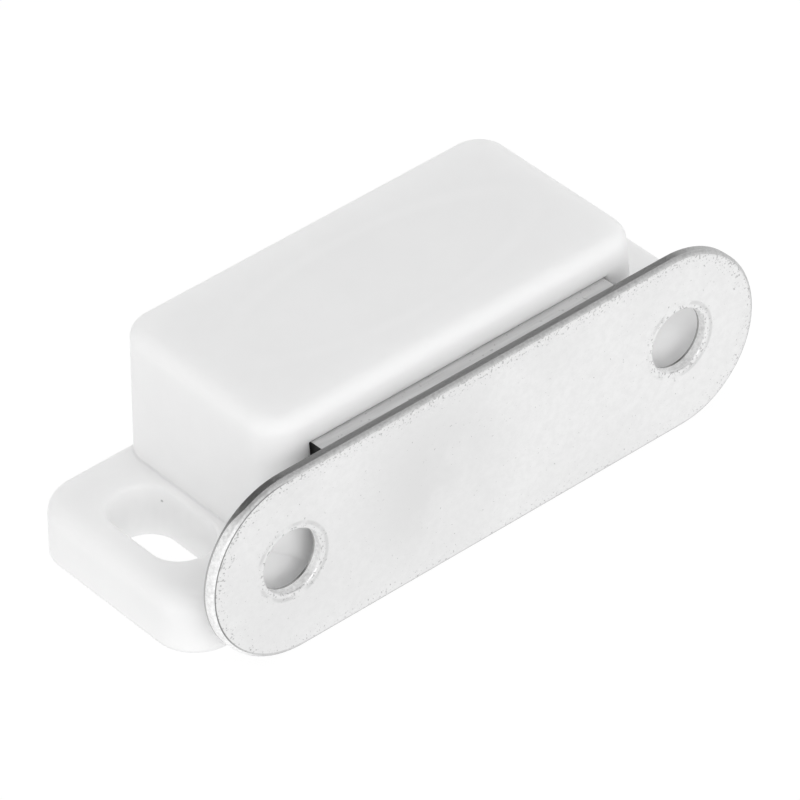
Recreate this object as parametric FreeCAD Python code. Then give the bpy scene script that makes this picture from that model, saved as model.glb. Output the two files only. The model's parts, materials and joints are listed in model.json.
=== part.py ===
import FreeCAD, Part

import math
import os

from FreeCAD import Vector

# Small magnetic catch with its strike plate held on the poles. Millimetres.
# X runs along the length, Y from the front to the back, Z up from the mounting face.
# The pieces are drawn with y = 0 on the housing's front face. The last lines move the
# origin to the middle of the mounting face, halfway between the screw slots.

# Magnet and pole plates, stacked and free to rock in the housing
pole_width = 24.05
pole_thickness = 1.2
pole_stand_out = 1.18
pole_back_reach = 7.2
pole_back_corner = 1.0
magnet_thickness = 5.6
magnet_setback_front = 1.2
magnet_setback_back = 0.3
magnet_rib_gap = 0.45
magnet_edge_chamfer = 0.3

# Rocking of the stack: its front stands tilted up against the roof of the pocket
pivot_depth = 6.7
rock_angle = 1.85
rest_gap = 0.05

# Pocket, open at the front, with a round rib on each side wall that keeps the plates in
pocket_side_clearance = 0.15
pocket_back_clearance = 0.3
pocket_mouth_round = 0.2
rib_radius = 0.6
rib_play = 0.15

# Housing: one moulding, a block round the pocket with a low ear at each end. Walls are
# measured at its base, and its outer sides lean in by the draft.
lintel_thickness = 2.3
floor_thickness = 2.94
side_wall = 3.46
back_wall = 2.11
draft_angle = 2.0
block_corner_radius = 2.3
block_top_round = 1.0
ear_height = 4.0
ear_corner_radius = 3.1
ear_top_round = 1.2

# Screw slots through the ears, longer along Y so that the catch can be set in or out
slot_width = 4.5
slot_length = 8.4
slot_block_gap = 0.5
slot_end_margin = 2.37
slot_rim_round = 0.25

# Strike plate: blanked steel with round ends and two screw holes
strike_length = 44.8
strike_width = 13.1
strike_thickness = 0.8
strike_edge_roll = 0.25
strike_hole_diameter = 4.5
strike_hole_end_margin = 6.4
strike_hole_rise = 0.2
strike_hole_roll = 0.15
strike_above_pole = 0.53

# How far a cutting solid runs past the face that it cuts
cut_past = 1.0

# How near to a plane an edge counts as lying on it
on_plane = 0.001

# Sizes of the stack and its pocket that follow from the ones above
lean = math.radians(rock_angle)
stack_half = magnet_thickness / 2 + pole_thickness
pole_front_reach = pivot_depth + pole_stand_out
pocket_rise = stack_half / math.cos(lean) + pivot_depth * math.tan(lean) + rest_gap
pocket_bottom = floor_thickness
pivot_height = pocket_bottom + pocket_rise
pocket_top = pivot_height + pocket_rise
pocket_half_width = pole_width / 2 + pocket_side_clearance
back_corner_reach = pole_back_reach * math.cos(lean) + stack_half * math.sin(lean)
pocket_depth = pivot_depth + back_corner_reach + pocket_back_clearance
notch_half_width = rib_radius + stack_half * math.sin(lean) + rib_play
pivot = Vector(0, pivot_depth, pivot_height)

# Sizes of the housing and the strike that follow
lean_in = math.tan(math.radians(draft_angle))
block_length = 2 * (pocket_half_width + side_wall)
block_height = pocket_top + lintel_thickness
housing_depth = pocket_depth + back_wall
ear_length = slot_block_gap + slot_width + slot_end_margin
housing_length = block_length + 2 * ear_length
slot_centre_x = housing_length / 2 - slot_end_margin - slot_width / 2
strike_hole_x = strike_length / 2 - strike_hole_end_margin


def is_upright(edge):
    box = edge.BoundBox
    return box.XLength < on_plane and box.YLength < on_plane


def climbs(edge, height):
    return abs(edge.BoundBox.ZLength - height) < on_plane


def is_on_front(edge):
    """True where every point of the edge lies on the drafted front face of the housing."""
    return all(abs(point.y - point.z * lean_in) < on_plane for point in edge.discretize(5))


def is_level_at(edge, height):
    box = edge.BoundBox
    return abs(box.ZMin - height) < on_plane and abs(box.ZMax - height) < on_plane


def round_edges(shape, radius, chosen):
    return shape.makeFillet(radius, [edge for edge in shape.Edges if chosen(edge)])


def drafted_block(length, height, corner_radius, top_round):
    """Block as deep as the housing at z = 0, leaning in on all four sides, with rounded edges."""
    inset = height * lean_in
    half = length / 2
    block = Part.makeWedge(-half, 0, 0, inset, inset - half, half, height, housing_depth,
                           housing_depth - inset, half - inset)
    block.rotate(Vector(0, 0, 0), Vector(1, 0, 0), 90)
    block.translate(Vector(0, housing_depth, 0))
    block = round_edges(block, corner_radius, lambda edge: climbs(edge, height))
    return round_edges(block, top_round, lambda edge: is_level_at(edge, height))


def stadium(length, width, thickness):
    """Upright prism with round ends, centred on the origin, its length along X and its base at z = 0."""
    radius = width / 2
    reach = length / 2 - radius
    right_arc = Part.Arc(Vector(reach, -radius, 0), Vector(length / 2, 0, 0), Vector(reach, radius, 0))
    left_arc = Part.Arc(Vector(-reach, radius, 0), Vector(-length / 2, 0, 0), Vector(-reach, -radius, 0))
    front = Part.makeLine(left_arc.EndPoint, right_arc.StartPoint)
    back = Part.makeLine(right_arc.EndPoint, left_arc.StartPoint)
    outline = Part.Wire([front, right_arc.toShape(), back, left_arc.toShape()])
    return Part.Face(outline).extrude(Vector(0, 0, thickness))


def lean_back(shape):
    """Rocks a piece of the stack, drawn level, to the angle at which it stands at rest."""
    leaning = shape.copy()
    leaning.rotate(pivot, Vector(1, 0, 0), -rock_angle)
    return leaning


def screw_slot(x):
    slot = stadium(slot_length, slot_width, ear_height + 2 * cut_past)
    slot.rotate(Vector(0, 0, 0), Vector(0, 0, 1), 90)
    slot.translate(Vector(x, housing_depth / 2, -cut_past))
    return slot


def magnet_pocket():
    """The hollow for the stack, less the two ribs that stand on its side walls."""
    height = pocket_top - pocket_bottom
    corner = Vector(-pocket_half_width, -cut_past, pocket_bottom)
    hollow = Part.makeBox(2 * pocket_half_width, pocket_depth + cut_past, height, corner)
    for side in (-1, 1):
        foot = Vector(side * pocket_half_width, pivot_depth, pocket_bottom)
        hollow = hollow.cut(Part.makeCylinder(rib_radius, height, foot))
    return hollow


def make_housing():
    block = drafted_block(block_length, block_height, block_corner_radius, block_top_round)
    ears = drafted_block(housing_length, ear_height, ear_corner_radius, ear_top_round)
    housing = block.fuse(ears).removeSplitter()
    housing = housing.cut(magnet_pocket())

    def at_mouth(edge):
        box = edge.BoundBox
        beside_pocket = max(abs(box.XMin), abs(box.XMax)) < pocket_half_width + on_plane
        round_pocket = box.ZMin > pocket_bottom - on_plane and box.ZMax < pocket_top + on_plane
        return is_on_front(edge) and beside_pocket and round_pocket

    housing = round_edges(housing, pocket_mouth_round, at_mouth)
    for side in (-1, 1):
        housing = housing.cut(screw_slot(side * slot_centre_x))

    def at_slot_rim(edge):
        box = edge.BoundBox
        middle = abs(box.XMin + box.XMax) / 2
        near = abs(middle - slot_centre_x) < slot_width / 2 + on_plane
        return is_level_at(edge, ear_height) and near and box.XLength < slot_width + on_plane

    return round_edges(housing, slot_rim_round, at_slot_rim)


def make_pole_plate(side):
    """Flat steel plate over (side 1) or under (side -1) the magnet, notched for the ribs."""
    depth = pole_front_reach + pole_back_reach
    front = pivot_depth - pole_front_reach
    plate = Part.makeBox(pole_width, depth, pole_thickness, Vector(-pole_width / 2, front, 0))

    def at_back(edge):
        return is_upright(edge) and edge.BoundBox.YMin > front + depth / 2

    plate = round_edges(plate, pole_back_corner, at_back)
    for end in (-1, 1):
        corner = Vector(end * pole_width / 2 - rib_radius, pivot_depth - notch_half_width, 0)
        plate = plate.cut(Part.makeBox(2 * rib_radius, 2 * notch_half_width, pole_thickness, corner))
    middle = pivot_height + side * (magnet_thickness + pole_thickness) / 2
    plate.translate(Vector(0, 0, middle - pole_thickness / 2))
    return lean_back(plate)


def make_magnet():
    half_width = pocket_half_width - rib_radius - magnet_rib_gap
    front = pivot_depth - pole_front_reach + magnet_setback_front
    back = pivot_depth + pole_back_reach - magnet_setback_back
    corner = Vector(-half_width, front, pivot_height - magnet_thickness / 2)
    block = Part.makeBox(2 * half_width, back - front, magnet_thickness, corner)
    uprights = [edge for edge in block.Edges if is_upright(edge)]
    return lean_back(block.makeChamfer(magnet_edge_chamfer, uprights))


def make_strike_plate():
    plate = stadium(strike_length, strike_width, strike_thickness)
    for side in (-1, 1):
        centre = Vector(side * strike_hole_x, strike_hole_rise, 0)
        plate = plate.cut(Part.makeCylinder(strike_hole_diameter / 2, strike_thickness, centre))

    def is_hole_rim(edge):
        return abs(edge.BoundBox.YLength - strike_hole_diameter) < on_plane

    def on_show(edge):
        return is_level_at(edge, strike_thickness)

    plate = round_edges(plate, strike_edge_roll, lambda edge: on_show(edge) and not is_hole_rim(edge))
    plate = round_edges(plate, strike_hole_roll, lambda edge: on_show(edge) and is_hole_rim(edge))
    plate.rotate(Vector(0, 0, 0), Vector(1, 0, 0), 90)
    top = pivot_height + stack_half + strike_above_pole
    plate.translate(Vector(0, pivot_depth - pole_front_reach, top - strike_width / 2))
    return lean_back(plate)


pieces = {
    "housing": make_housing(),
    "upper_pole_plate": make_pole_plate(1),
    "lower_pole_plate": make_pole_plate(-1),
    "magnet": make_magnet(),
    "strike_plate": make_strike_plate(),
}

os.makedirs("parts", exist_ok=True)
for name, shape in pieces.items():
    shape.translate(Vector(0, -housing_depth / 2, 0))
    print(name, "valid", shape.isValid(), "solids", len(shape.Solids), "volume", round(shape.Volume, 2))
    shape.Solids[0].exportStep(os.path.join("parts", name + ".step"))
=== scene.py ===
"""Looks of a small magnetic catch: white plastic, ferrite and zinc-plated steel on a pale floor."""

import json
import math

import bpy
from mathutils import Matrix, Vector


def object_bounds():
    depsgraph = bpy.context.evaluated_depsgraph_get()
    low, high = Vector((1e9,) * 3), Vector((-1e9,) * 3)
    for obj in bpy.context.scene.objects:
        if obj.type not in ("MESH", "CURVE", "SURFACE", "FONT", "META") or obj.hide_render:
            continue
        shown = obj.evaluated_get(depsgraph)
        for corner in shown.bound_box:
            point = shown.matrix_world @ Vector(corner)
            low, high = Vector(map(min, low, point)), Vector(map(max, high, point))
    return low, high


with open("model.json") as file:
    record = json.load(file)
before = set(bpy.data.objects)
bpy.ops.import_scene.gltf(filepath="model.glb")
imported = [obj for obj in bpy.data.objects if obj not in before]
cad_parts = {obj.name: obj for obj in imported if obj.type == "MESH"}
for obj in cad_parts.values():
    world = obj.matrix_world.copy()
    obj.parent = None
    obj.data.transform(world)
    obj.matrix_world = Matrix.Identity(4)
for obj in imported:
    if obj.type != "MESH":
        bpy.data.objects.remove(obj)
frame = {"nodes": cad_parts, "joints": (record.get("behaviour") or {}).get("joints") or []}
cad_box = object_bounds()

MM = 0.001
ORIGIN = Vector((0, 0, 0))
X_AXIS = Vector((1, 0, 0))
Y_AXIS = Vector((0, 1, 0))
Z_AXIS = Vector((0, 0, 1))

# Camera: where it looks, from which side, and how far its optical axis passes from that point
LOOK_AT = Vector((0, -1.2175, 7.0)) * MM
AZIMUTH = math.radians(-37.696)
ELEVATION = math.radians(38.359)
ROLL = math.radians(-3.686)
DISTANCE = 400.56 * MM
ASIDE = Vector((0.2108, -2.0350)) * MM
SENSOR = 36.0
LENS = 283.5
CLIP = 100

# Studio: a white room with a dark ceiling that only the metal shows
HORIZON_LIGHT = 1.0
ZENITH_LIGHT = 0.67
CEILING_SEEN = 0.03
CEILING_FROM = math.sin(math.radians(12))
CEILING_TO = math.sin(math.radians(50))
LAMP_AZIMUTH = math.radians(-18)
LAMP_ELEVATION = math.radians(30)
LAMP_DISTANCE = 0.5
LAMP_SIZE = 0.4
LAMP_POWER = 0.55

# Floor: part of it glows by itself, one share where it is seen and another where it lights things
FLOOR_SIZE = 6.0
FLOOR_COLOUR = 0.92
FLOOR_GLOW = 1.03
FLOOR_SEEN_WHITE = 0.92
FLOOR_LIGHT = 0.6

# Housing: shades and gloss of its plastic, how deep light goes into it, and its ripples
PLASTIC_DARK = (0.915, 0.915, 0.915, 1)
PLASTIC_LIGHT = (0.935, 0.935, 0.933, 1)
PLASTIC_SMOOTH = 0.46
PLASTIC_ROUGH = 0.56
PLASTIC_SPECULAR = 0.35
MOTTLE_SIZE = 4.0 * MM
SCATTER_DEPTH = 1.2 * MM
WAVE_SIZE = 7.0 * MM
WAVE_HEIGHT = 0.02 * MM
SKIN_SIZE = 0.15 * MM
SKIN_HEIGHT = 0.001 * MM
CORNER_SOFTNESS = 0.25 * MM

# Housing: a faint oval sink mark on its top, with painted shade inside and a painted highlight on
# its rim, whose edges are given as shares of the oval's radius
SINK_LENGTH = 24.0 * MM
SINK_DEPTH = 9.0 * MM
SINK_ABOVE = 13.0 * MM
SINK_FULLY_ABOVE = 13.2 * MM
SINK_EDGE_FROM = 0.8
SINK_EDGE_TO = 1.05
SINK_PAINTED_SHADE = 0.87
SINK_STRENGTH = 0.15
RIM_HALF_WIDTH = 0.02
RIM_SOFTNESS = 0.12
RIM_PAINTED_HIGHLIGHT = 0.97
RIM_STRENGTH = 0.2

# Housing: a speck of dirt on the wall of the left slot
SPECK_AT = Vector((-16.29, 2.77, 2.9)) * MM
SPECK_CORE = 0.05 * MM
SPECK_RADIUS = 0.13 * MM
SPECK_SHADE = 0.2
SPECK_STRENGTH = 0.5

# Pole plates: their steel's shades, marks and pits, and where their ends painted black as shade
# begin
POLE_DARK = 0.68
POLE_LIGHT = 0.78
POLE_METALLIC = 0.45
POLE_ROUGHNESS = 0.42
POLE_MARK_SIZE = 0.2 * MM
POLE_MARK_HEIGHT = 0.004 * MM
POLE_PIT_SIZE = 0.16 * MM
POLE_PIT_FROM = 0.66
POLE_PIT_TO = 0.7
POLE_PIT_SHADE = 0.15
POLE_PIT_STRENGTH = 0.25
POLE_END_X = 12.025 * MM
POLE_END_PAINTED_SHADE = 0.03

# Magnet
FERRITE_DARK = 0.025
FERRITE_LIGHT = 0.05
FERRITE_ROUGHNESS = 0.65
FERRITE_GRAIN_SIZE = 0.12 * MM
FERRITE_GRAIN_HEIGHT = 0.01 * MM

# Strike plate, in its own axes: X along it, STRIKE_UP across it, STRIKE_OUT off the poles
STRIKE_PULL = next(joint for joint in frame["joints"] if joint["name"] == "strike_pull")
STRIKE_OUT = Vector(STRIKE_PULL["axis"])
STRIKE_UP = STRIKE_OUT.cross(X_AXIS)
STRIKE_EDGE_ROLL = 0.25 * MM
STRIKE_HOLE_X = 16.0 * MM
STRIKE_HOLE_RISE = 0.2 * MM
STRIKE_HOLE_RADIUS = 2.25 * MM

# Strike plate: shades and gloss of its face, and a tarnished patch left of the middle
FACE_DARK = 0.82
FACE_LIGHT = 0.87
FACE_SMOOTH = 0.30
FACE_ROUGH = 0.40
CLOUD_SIZE = 6.0 * MM
GRAIN_SIZE = 0.25 * MM
GRAIN_SHADE = 0.75
GRAIN_STRENGTH = 0.35
TARNISH_X = -5.0 * MM
TARNISH_CORE = 1.0 * MM
TARNISH_REACH = 9.0 * MM
TARNISH_SIZE = 3.0 * MM
TARNISH_FROM = 0.3
TARNISH_TO = 0.6
TARNISH_SHADE = 0.73
TARNISH_STRENGTH = 0.8

# Strike plate: pits and bright flecks, crowded near its edge and its holes, and most along the top
CROWDED_FROM = 0.2 * MM
CROWDED_TO = 1.8 * MM
CROWDED_ROUND_HOLE = 0.6 * MM
CROWDED_UP = 3.0 * MM
CROWDED_BELOW = 0.65
PIT_SIZE = 0.09 * MM
PIT_LEVEL = 0.70
PIT_LEVEL_DROP = 0.15
PIT_SOFTNESS = 0.06
PIT_SHADE = 0.35
PIT_STRENGTH = 0.6
FLECK_SIZE = 0.13 * MM
FLECK_FROM = 0.6
FLECK_TO = 0.7
FLECK_SHADE = 0.95
FLECK_STRENGTH = 0.5

# Strike plate: relief of its face, as the depth of a pit, and the rest as multiples of it
PIT_DEPTH = 0.01 * MM
GRAIN_HEIGHT = 0.15
RING_DEPTH = 1.5

# Strike plate: a darker ring pressed round each hole, in patches
RING_RADIUS = STRIKE_HOLE_RADIUS + 0.45 * MM
RING_HALF_WIDTH = 0.05 * MM
RING_SOFTNESS = 0.16 * MM
RING_SHADE = 0.45
RING_STRENGTH = 0.35
RING_PATCH_SIZE = 0.8 * MM
RING_PATCH_RANGE = 0.16

# Strike plate: a painted dark reflection, a thin line inside its rolled edge, strong round the left
# end and weak elsewhere and at the foot. Where the left end begins is given in halves of the
# plate's straight sides.
REFLECTION_HALF_WIDTH = 0.03 * MM
REFLECTION_SOFTNESS = 0.05 * MM
PAINTED_REFLECTION_SHADE = 0.16
REFLECTION_STRONG = 0.85
REFLECTION_WEAK = 0.1
REFLECTION_STRONG_PAST = 1.1
REFLECTION_WEAK_WITHIN = 0.9
REFLECTION_AT_FOOT = 0.3
FOOT_RISE = -5.5 * MM
ABOVE_FOOT_RISE = -2.0 * MM

# Strike plate: its sheared edge, torn and dark at the back and smeared in front of that. The left
# tip also begins at so many halves of the straight sides. The smear is brighter there and in the
# holes: a painted highlight.
TORN_DEPTH = 0.5 * MM
TORN_DEPTH_LEFT = 0.15 * MM
TORN_DEPTH_HOLE = 0.15 * MM
TORN_SHADE = 0.42
TORN_STRENGTH = 0.9
LEFT_TIP_FROM = 1.15
LEFT_TIP_TO = 1.32
SMEAR_SHADE = 0.55
SMEAR_PAINTED_HIGHLIGHT = 0.92
SMEAR_DULLNESS = 0.8
SCUFF_SIZE = 0.12 * MM
SCUFF_DARK = 0.85
SCUFF_BRIGHT = 1.1
SHARP = 0.02 * MM


def grey(value):
    return (value, value, value, 1.0)


class Graph:
    """Short names for building the nodes of a material or of the world."""

    def __init__(self, owner, coordinates="Object"):
        owner.use_nodes = True
        self.owner = owner
        self.tree = owner.node_tree
        self.tree.nodes.clear()
        self.place = self.node("ShaderNodeTexCoord").outputs[coordinates]

    def node(self, kind, inputs=None, **settings):
        made = self.tree.nodes.new(kind)
        for key, value in settings.items():
            setattr(made, key, value)
        for key, value in (inputs or {}).items():
            self.feed(made.inputs[key], value)
        return made

    def feed(self, socket, value):
        if isinstance(value, bpy.types.NodeSocket):
            self.tree.links.new(value, socket)
        else:
            socket.default_value = value

    def math(self, operation, *values):
        made = self.node("ShaderNodeMath", operation=operation)
        for socket, value in zip(made.inputs, values):
            self.feed(socket, value)
        return made.outputs[0]

    def product(self, *values):
        result = values[0]
        for value in values[1:]:
            result = self.math("MULTIPLY", result, value)
        return result

    def place_math(self, operation, vector):
        """Vector arithmetic on the place of a surface point."""
        inputs = {0: self.place, 1: vector}
        return self.node("ShaderNodeVectorMath", inputs, operation=operation).outputs

    def along(self, origin, direction):
        """How far the surface lies from a point, measured along a direction."""
        reach = self.place_math("DOT_PRODUCT", direction)["Value"]
        return self.math("SUBTRACT", reach, origin.dot(direction))

    def distance(self, point):
        return self.place_math("DISTANCE", point)["Value"]

    def length(self, a, b):
        return self.math("SQRT", self.math("ADD", self.product(a, a), self.product(b, b)))

    def noise(self, size, detail=3.0, roughness=0.55, squeeze=None):
        """Noise in blotches of about the given size, smaller along an axis that is squeezed."""
        place = self.place_math("MULTIPLY", squeeze)["Vector"] if squeeze else self.place
        inputs = {"Vector": place, "Scale": 0.5 / size, "Detail": detail, "Roughness": roughness}
        return self.node("ShaderNodeTexNoise", inputs).outputs["Fac"]

    def ramp(self, value, low, high, to_low=0.0, to_high=1.0):
        """Takes a value from one range to another, smoothly, and holds it beyond the ends."""
        made = self.node("ShaderNodeMapRange", {
            "Value": value,
            "From Min": low,
            "From Max": high,
            "To Min": to_low,
            "To Max": to_high,
        }, interpolation_type="SMOOTHSTEP")
        return made.outputs["Result"]

    def fade(self, value, low, high, full=1.0):
        """Full up to low, and down to nought at high."""
        return self.ramp(value, low, high, full, 0.0)

    def spread(self, noise, to_low=0.0, to_high=1.0, width=0.4):
        """Ramps noise over a range of the given width about its middle."""
        return self.ramp(noise, 0.5 - width / 2, 0.5 + width / 2, to_low, to_high)

    def blend(self, factor, a, b):
        """A number that goes from a to b as the factor goes from nought to one."""
        return self.ramp(factor, 0.0, 1.0, a, b)

    def band(self, value, middle, half_width, soft):
        """One within half_width of the middle, nought beyond it, with soft shoulders."""
        off = self.math("ABSOLUTE", self.math("SUBTRACT", value, middle))
        return self.fade(off, half_width, half_width + soft)

    def mix(self, factor, a, b):
        made = self.node("ShaderNodeMix", data_type="RGBA")
        sockets = [socket for socket in made.inputs if socket.enabled]
        for socket, value in zip(sockets, (factor, a, b)):
            self.feed(socket, value)
        return next(socket for socket in made.outputs if socket.enabled)

    def choose(self, flag, otherwise, chosen):
        inputs = {"Factor": flag, "A": otherwise, "B": chosen}
        return self.node("ShaderNodeMix", inputs).outputs["Result"]

    def bump(self, height, distance, normal=None):
        inputs = {"Height": height, "Distance": distance, "Strength": 1.0}
        if normal:
            inputs["Normal"] = normal
        return self.node("ShaderNodeBump", inputs).outputs["Normal"]

    def show(self, shader, output="ShaderNodeOutputMaterial"):
        self.node(output, {"Surface": shader.outputs[0]})
        return self.owner

    def finish(self, **inputs):
        inputs = {key.replace("_", " "): value for key, value in inputs.items()}
        return self.show(self.node("ShaderNodeBsdfPrincipled", inputs))


def white_plastic():
    """Moulded plastic: nearly white, satin, faintly mottled where it cooled unevenly."""
    g = Graph(bpy.data.materials.new("white_plastic"))
    mottle = g.noise(MOTTLE_SIZE, detail=4.0)
    colour = g.mix(g.spread(mottle, width=0.3), PLASTIC_DARK, PLASTIC_LIGHT)

    across = g.math("DIVIDE", g.along(ORIGIN, X_AXIS), SINK_LENGTH / 2)
    deep = g.math("DIVIDE", g.along(ORIGIN, Y_AXIS), SINK_DEPTH / 2)
    out = g.length(across, deep)
    on_top = g.ramp(g.along(ORIGIN, Z_AXIS), SINK_ABOVE, SINK_FULLY_ABOVE)
    painted_sink_shade = g.product(on_top, g.fade(out, SINK_EDGE_FROM, SINK_EDGE_TO))
    painted_rim_highlight = g.product(on_top, g.band(out, 1.0, RIM_HALF_WIDTH, RIM_SOFTNESS))
    # Painted shade inside the sink mark and a painted highlight on its rim.
    colour = g.mix(g.product(painted_sink_shade, SINK_STRENGTH), colour, grey(SINK_PAINTED_SHADE))
    colour = g.mix(g.product(painted_rim_highlight, RIM_STRENGTH), colour, grey(RIM_PAINTED_HIGHLIGHT))

    speck = g.fade(g.distance(SPECK_AT), SPECK_CORE, SPECK_RADIUS, full=SPECK_STRENGTH)
    colour = g.mix(speck, colour, grey(SPECK_SHADE))

    normal = g.node("ShaderNodeBevel", {"Radius": CORNER_SOFTNESS}, samples=6).outputs["Normal"]
    normal = g.bump(g.noise(WAVE_SIZE, detail=2.0, squeeze=(0.5, 1.0, 1.0)), WAVE_HEIGHT, normal)
    normal = g.bump(g.noise(SKIN_SIZE, detail=2.0), SKIN_HEIGHT, normal)
    return g.finish(
        Base_Color=colour,
        Roughness=g.spread(mottle, PLASTIC_SMOOTH, PLASTIC_ROUGH),
        Specular_IOR_Level=PLASTIC_SPECULAR,
        Subsurface_Weight=1.0,
        Subsurface_Radius=(1.0, 1.0, 1.0),
        Subsurface_Scale=SCATTER_DEPTH,
        Normal=normal,
    )


def strike_measures():
    """Middle of the strike's back face, and its length and width, read from its corner points."""
    points = [corner.co for corner in frame["nodes"]["strike_plate"].data.vertices]

    def extent(direction):
        reach = [point.dot(direction) for point in points]
        return min(reach), max(reach)

    low_x, high_x = extent(X_AXIS)
    low_rise, high_rise = extent(STRIKE_UP)
    back = (X_AXIS * (low_x + high_x) / 2 + STRIKE_UP * (low_rise + high_rise) / 2
            + STRIKE_OUT * extent(STRIKE_OUT)[0])
    return back, high_x - low_x, high_rise - low_rise


def strike_steel():
    """Zinc-plated sheet: bright satin faces with small pits, a sheared edge and a rolled one."""
    back, strike_length, strike_width = strike_measures()
    end_radius = strike_width / 2
    straight = strike_length / 2 - end_radius
    g = Graph(bpy.data.materials.new("strike_steel"))
    depth = g.along(back, STRIKE_OUT)
    x = g.along(back, X_AXIS)
    rise = g.along(back, STRIKE_UP)
    past_straight = g.math("MAXIMUM", g.math("SUBTRACT", g.math("ABSOLUTE", x), straight), 0.0)
    from_edge = g.math("SUBTRACT", end_radius, g.length(past_straight, rise))
    hole_x = g.math("SUBTRACT", g.math("ABSOLUTE", x), STRIKE_HOLE_X)
    from_hole = g.length(hole_x, g.math("SUBTRACT", rise, STRIKE_HOLE_RISE))

    cloud = g.noise(CLOUD_SIZE)
    colour = g.mix(g.spread(cloud, width=0.3), grey(FACE_DARK), grey(FACE_LIGHT))
    from_tarnish = g.length(g.math("SUBTRACT", x, TARNISH_X), rise)
    tarnish = g.fade(from_tarnish, TARNISH_CORE, TARNISH_REACH, full=TARNISH_STRENGTH)
    patchy = g.ramp(g.noise(TARNISH_SIZE, detail=4.0), TARNISH_FROM, TARNISH_TO)
    colour = g.mix(g.product(tarnish, patchy), colour, grey(TARNISH_SHADE))
    grain = g.noise(GRAIN_SIZE, roughness=0.7)
    colour = g.mix(g.spread(grain, 0.0, GRAIN_STRENGTH), colour, grey(GRAIN_SHADE))

    above = g.ramp(rise, -CROWDED_UP, CROWDED_UP, CROWDED_BELOW, 1.0)
    near_edge = g.product(g.fade(from_edge, CROWDED_FROM, CROWDED_TO), above)
    near_hole = g.fade(from_hole, STRIKE_HOLE_RADIUS, RING_RADIUS + CROWDED_ROUND_HOLE)
    crowd = g.math("MAXIMUM", near_edge, near_hole)
    level = g.math("SUBTRACT", PIT_LEVEL, g.product(crowd, PIT_LEVEL_DROP))
    over_level = g.math("SUBTRACT", g.noise(PIT_SIZE, detail=2.0, roughness=0.6), level)
    pit = g.ramp(over_level, 0.0, PIT_SOFTNESS)
    colour = g.mix(g.product(pit, PIT_STRENGTH), colour, grey(PIT_SHADE))
    flecks = g.noise(FLECK_SIZE, detail=2.0, roughness=0.6, squeeze=(1.0, 1.0, 1.3))
    fleck = g.ramp(flecks, FLECK_FROM, FLECK_TO)
    colour = g.mix(g.product(fleck, crowd, FLECK_STRENGTH), colour, grey(FLECK_SHADE))

    ring = g.band(from_hole, RING_RADIUS, RING_HALF_WIDTH, RING_SOFTNESS)
    ring_patches = g.spread(g.noise(RING_PATCH_SIZE), width=RING_PATCH_RANGE)
    colour = g.mix(g.product(ring, ring_patches, RING_STRENGTH), colour, grey(RING_SHADE))

    # Painted dark reflection along the inside of the rolled edge.
    painted_reflection = g.band(from_edge, STRIKE_EDGE_ROLL, REFLECTION_HALF_WIDTH, REFLECTION_SOFTNESS)
    towards_left = g.ramp(x, -REFLECTION_STRONG_PAST * straight, -REFLECTION_WEAK_WITHIN * straight,
                          REFLECTION_STRONG, REFLECTION_WEAK)
    off_foot = g.ramp(rise, FOOT_RISE, ABOVE_FOOT_RISE, REFLECTION_AT_FOOT, 1.0)
    colour = g.mix(g.product(painted_reflection, towards_left, off_foot), colour, grey(PAINTED_REFLECTION_SHADE))

    on_rim = g.fade(from_edge, STRIKE_EDGE_ROLL - 3 * SHARP, STRIKE_EDGE_ROLL - SHARP)
    in_hole = g.fade(from_hole, STRIKE_HOLE_RADIUS + SHARP, STRIKE_HOLE_RADIUS + 2 * SHARP)
    on_cut = g.math("MAXIMUM", on_rim, in_hole)
    at_left_tip = g.fade(x, -LEFT_TIP_TO * straight, -LEFT_TIP_FROM * straight)
    torn_depth = g.math("MINIMUM", g.blend(at_left_tip, TORN_DEPTH, TORN_DEPTH_LEFT),
                        g.blend(in_hole, TORN_DEPTH, TORN_DEPTH_HOLE))
    torn = g.product(on_cut, g.math("LESS_THAN", depth, torn_depth))
    colour = g.mix(g.product(torn, TORN_STRENGTH), colour, grey(TORN_SHADE))

    smeared = g.math("SUBTRACT", on_cut, torn)
    # Painted highlight: the smear is brighter on the left tip and in the holes.
    shade = g.blend(g.math("MAXIMUM", at_left_tip, in_hole), SMEAR_SHADE, SMEAR_PAINTED_HIGHLIGHT)
    scuffs = g.spread(g.noise(SCUFF_SIZE, roughness=0.7), SCUFF_DARK, SCUFF_BRIGHT)
    shade = g.product(shade, scuffs)
    smear = g.node("ShaderNodeCombineColor", {0: shade, 1: shade, 2: shade}).outputs[0]
    colour = g.mix(smeared, colour, smear)

    height = g.math("SUBTRACT", g.product(grain, GRAIN_HEIGHT), pit)
    height = g.math("SUBTRACT", height, g.product(ring, RING_DEPTH))
    return g.finish(
        Base_Color=colour,
        Metallic=g.math("SUBTRACT", 1.0, g.product(smeared, SMEAR_DULLNESS)),
        Roughness=g.spread(cloud, FACE_SMOOTH, FACE_ROUGH),
        Normal=g.bump(height, PIT_DEPTH),
    )


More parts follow.
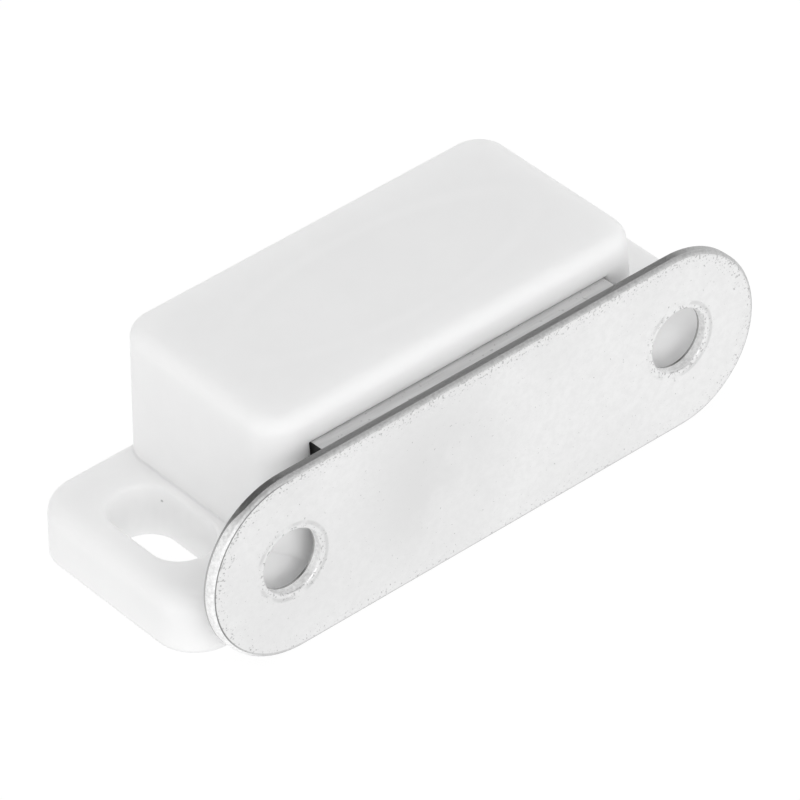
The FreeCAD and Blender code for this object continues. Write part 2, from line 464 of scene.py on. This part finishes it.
def pole_steel():
    """Plain steel plates: darker, with rolling marks along their length and ends painted black as
    shade.
    """
    g = Graph(bpy.data.materials.new("pole_steel"))
    marks = g.noise(POLE_MARK_SIZE, squeeze=(0.08, 1.0, 1.0))
    colour = g.mix(g.spread(marks), grey(POLE_DARK), grey(POLE_LIGHT))
    pit = g.ramp(g.noise(POLE_PIT_SIZE, detail=1.5), POLE_PIT_FROM, POLE_PIT_TO)
    colour = g.mix(g.product(pit, POLE_PIT_STRENGTH), colour, grey(POLE_PIT_SHADE))
    off_middle = g.math("ABSOLUTE", g.along(ORIGIN, X_AXIS))
    painted_shade_end = g.ramp(off_middle, POLE_END_X - SHARP, POLE_END_X - SHARP / 2)
    # Painted shade: the cut ends are black, for the shade of the pocket round them.
    colour = g.mix(painted_shade_end, colour, grey(POLE_END_PAINTED_SHADE))
    return g.finish(
        Base_Color=colour,
        Metallic=POLE_METALLIC,
        Roughness=POLE_ROUGHNESS,
        Normal=g.bump(marks, POLE_MARK_HEIGHT),
    )


def ferrite():
    """Sintered magnet: dark grey, matt and grainy."""
    g = Graph(bpy.data.materials.new("ferrite"))
    grain = g.noise(FERRITE_GRAIN_SIZE, detail=4.0, roughness=0.7)
    colour = g.mix(g.spread(grain), grey(FERRITE_DARK), grey(FERRITE_LIGHT))
    return g.finish(
        Base_Color=colour,
        Roughness=FERRITE_ROUGHNESS,
        Normal=g.bump(grain, FERRITE_GRAIN_HEIGHT),
    )


def paint(node, material):
    mesh = frame["nodes"][node].data
    mesh.materials.clear()
    mesh.materials.append(material)


def towards(azimuth, elevation):
    """The direction from the object to something that looks at it from that side."""
    level = math.cos(elevation)
    return Vector((math.sin(azimuth) * level, -math.cos(azimuth) * level, math.sin(elevation)))


def aim_camera():
    right = Vector((math.cos(AZIMUTH), math.sin(AZIMUTH), 0))
    back = towards(AZIMUTH, ELEVATION)
    up = back.cross(right)
    tilted_right = right * math.cos(ROLL) + up * math.sin(ROLL)
    tilted_up = up * math.cos(ROLL) - right * math.sin(ROLL)
    camera = bpy.data.objects.new("camera", bpy.data.cameras.new("camera"))
    camera.data.lens = LENS
    camera.data.sensor_width = SENSOR
    camera.data.clip_start = DISTANCE / CLIP
    camera.data.clip_end = DISTANCE * CLIP
    axes = Matrix((tilted_right, tilted_up, back)).transposed().to_4x4()
    place = LOOK_AT + back * DISTANCE + tilted_right * ASIDE.x + tilted_up * ASIDE.y
    camera.matrix_world = Matrix.Translation(place) @ axes
    bpy.context.scene.collection.objects.link(camera)
    bpy.context.scene.camera = camera


def lay_floor():
    """Pale floor that the camera and the metal see as white, less the shadow. Clear from below."""
    half = FLOOR_SIZE / 2
    level = cad_box[0].z
    mesh = bpy.data.meshes.new("floor")
    corners = [(x * half, y * half, level) for x, y in ((-1, -1), (1, -1), (1, 1), (-1, 1))]
    mesh.from_pydata(corners, [], [(0, 1, 2, 3)])
    floor = bpy.data.objects.new("floor", mesh)
    bpy.context.scene.collection.objects.link(floor)
    g = Graph(bpy.data.materials.new("floor"))
    path = g.node("ShaderNodeLightPath").outputs
    seen = g.math("MAXIMUM", path["Is Camera Ray"], path["Is Glossy Ray"])
    seen = g.math("MAXIMUM", seen, path["Is Transmission Ray"])
    lit = g.node("ShaderNodeBsdfDiffuse", {"Color": grey(FLOOR_COLOUR)})
    white = g.node("ShaderNodeEmission", {"Color": grey(1.0), "Strength": FLOOR_GLOW})
    glow = g.blend(seen, FLOOR_LIGHT, FLOOR_SEEN_WHITE)
    above = g.node("ShaderNodeMixShader", {0: glow, 1: lit.outputs[0], 2: white.outputs[0]})
    from_below = g.node("ShaderNodeNewGeometry").outputs["Backfacing"]
    clear = g.node("ShaderNodeBsdfTransparent")
    both = g.node("ShaderNodeMixShader", {0: from_below, 1: above.outputs[0], 2: clear.outputs[0]})
    mesh.materials.append(g.show(both))


def light_room():
    """Studio sky: white to the camera, dimmer above to diffuse light, dark above to the metal."""
    g = Graph(bpy.data.worlds.new("room"), "Generated")
    path = g.node("ShaderNodeLightPath").outputs
    height = g.node("ShaderNodeSeparateXYZ", {0: g.place}).outputs["Z"]
    seen_straight = g.math("LESS_THAN", path["Diffuse Depth"], 0.5)
    in_metal = g.product(path["Is Glossy Ray"], seen_straight)
    sky = g.ramp(height, 0.0, 1.0, HORIZON_LIGHT, ZENITH_LIGHT)
    ceiling = g.ramp(height, CEILING_FROM, CEILING_TO, 1.0, CEILING_SEEN)
    strength = g.choose(path["Is Camera Ray"], g.choose(in_metal, sky, ceiling), 1.0)
    background = g.node("ShaderNodeBackground", {"Color": grey(1.0), "Strength": strength})
    bpy.context.scene.world = g.show(background, "ShaderNodeOutputWorld")


def hang_lamp():
    """A square lamp that faces the object, at a distance where it is soft."""
    back = towards(LAMP_AZIMUTH, LAMP_ELEVATION)
    lamp = bpy.data.objects.new("front_lamp", bpy.data.lights.new("front_lamp", "AREA"))
    lamp.data.size = LAMP_SIZE
    lamp.data.energy = LAMP_POWER
    lamp.location = LOOK_AT + back * LAMP_DISTANCE
    lamp.rotation_euler = (-back).to_track_quat("-Z", "Y").to_euler()
    bpy.context.scene.collection.objects.link(lamp)


materials = {
    "housing": white_plastic(),
    "strike_plate": strike_steel(),
    "upper_pole_plate": pole_steel(),
    "lower_pole_plate": pole_steel(),
    "magnet": ferrite(),
}
for node, material in materials.items():
    paint(node, material)

aim_camera()
lay_floor()
light_room()
hang_lamp()

bpy.context.scene.view_settings.view_transform = "Standard"
